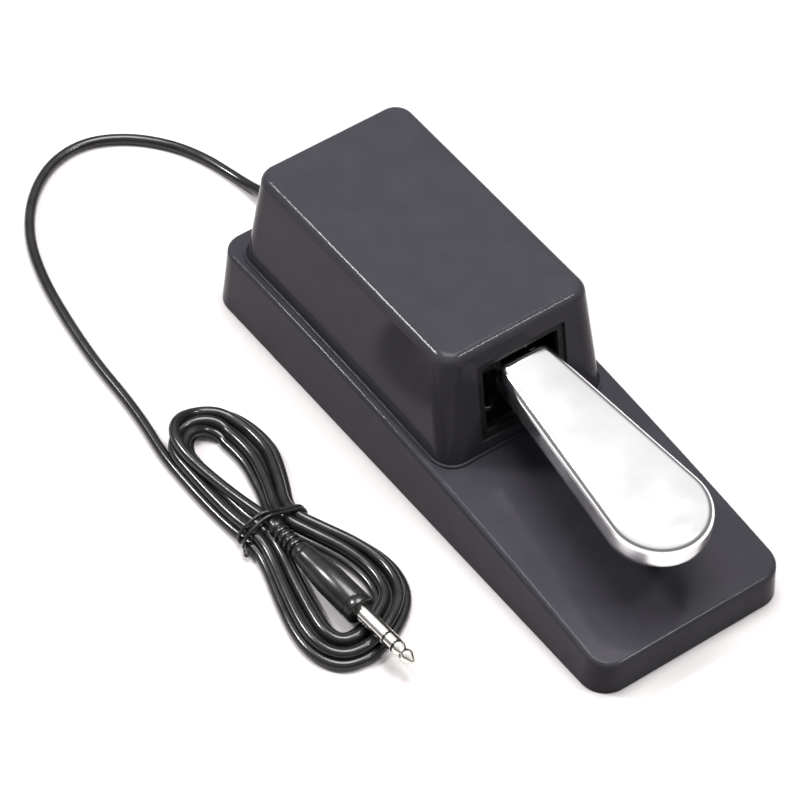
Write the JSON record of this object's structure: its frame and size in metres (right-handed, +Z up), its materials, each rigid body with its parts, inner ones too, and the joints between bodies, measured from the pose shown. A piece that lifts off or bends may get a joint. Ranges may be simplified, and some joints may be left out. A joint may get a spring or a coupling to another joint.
{
  "type": "sustain pedal",
  "caption": "Foot switch for a keyboard: chrome lever hinged in a drafted housing on a wedge base, with a hanked cord and a jack plug.",
  "frame": {"origin": "on the floor, under the middle of the base", "axes": "+X to the right seen from the player's foot, +Y to the rear where the cord leaves, +Z up; the lever points to -Y"},
  "size_m": [0.1675, 0.3448, 0.0747],
  "materials": {
    "moulded_black": "fine grained moulded plastic",
    "bezel_black": "smooth matt plastic",
    "pedal_chrome": "polished chrome plate",
    "sole_rubber": "matt rubber with cross grooves",
    "stop_rubber": "soft rubber",
    "zinc_steel": "zinc plated",
    "bright_steel": "plain bright steel",
    "spring_steel": "drawn spring wire",
    "nylon": "natural nylon",
    "switch_case": "moulded switch case",
    "switch_red": "moulded button",
    "contact_brass": "tinned brass",
    "cord_black": "glossy flexible jacket",
    "wire_white": "insulation",
    "wire_red": "insulation",
    "wire_black": "insulation",
    "tie_black": "plastic covered wire tie",
    "plug_black": "moulded barrel",
    "plug_nickel": "nickel plate"
  },
  "bodies": {
    "base": {"base_shell": "moulded_black", "housing_cover": "moulded_black", "opening_bezel": "bezel_black", "rubber_sole": "sole_rubber", "bottom_plate": "zinc_steel", "bottom_plate_screws": "zinc_steel", "housing_screws": "zinc_steel", "chassis": "zinc_steel", "chassis_rivets": "bright_steel", "axle": "bright_steel", "axle_clips": "spring_steel", "stop_pins": "bright_steel", "stop_sleeves": "stop_rubber", "spring_seat": "nylon", "return_spring": "spring_steel", "switch_bracket": "zinc_steel", "switch_bracket_rivets": "bright_steel", "switch_body": "switch_case", "switch_terminals": "contact_brass", "switch_screws": "bright_steel", "switch_nuts": "bright_steel", "lead_open": "wire_red", "lead_common": "wire_white", "lead_closed": "wire_black", "cord_inner": "cord_black", "cord_clamp": "nylon", "cord_clamp_screw": "zinc_steel", "cord_grommet": "cord_black", "cord": "cord_black", "cord_hank": "cord_black", "hank_tie": "tie_black", "plug_boot": "plug_black", "plug_barrel": "plug_black", "plug_sleeve": "plug_nickel", "plug_ring": "plug_nickel", "plug_tip": "plug_nickel", "plug_insulators": "wire_black"},
    "pedal": {"pedal": "pedal_chrome", "pedal_bushes": "nylon"},
    "switch_blade": {"switch_blade": "spring_steel"},
    "switch_button": {"switch_button": "switch_red"}
  },
  "joints": [
    {"name": "pedal_hinge", "type": "hinge", "parent": "base", "child": "pedal", "pos_m": [0, 0.066, 0.05], "axis": [1, 0, 0], "range_deg": [0, 6], "stiffness_Nm_per_rad": 12, "springref_deg": -11.46, "deforming": ["return_spring"]},
    {"name": "switch_blade_hinge", "type": "hinge", "parent": "base", "child": "switch_blade", "pos_m": [0, 0.072, 0.0423], "axis": [1, 0, 0], "range_deg": [0, 8.73]},
    {"name": "switch_button_slide", "type": "slide", "parent": "base", "child": "switch_button", "axis": [0, 0, 1], "range_m": [0, 0.0007]}
  ],
  "couplings": [
    {"joint": "switch_blade_hinge", "follows": "pedal_hinge", "ratio": 1.455},
    {"joint": "switch_button_slide", "follows": "pedal_hinge", "m_per_rad": 0.006685}
  ]
}
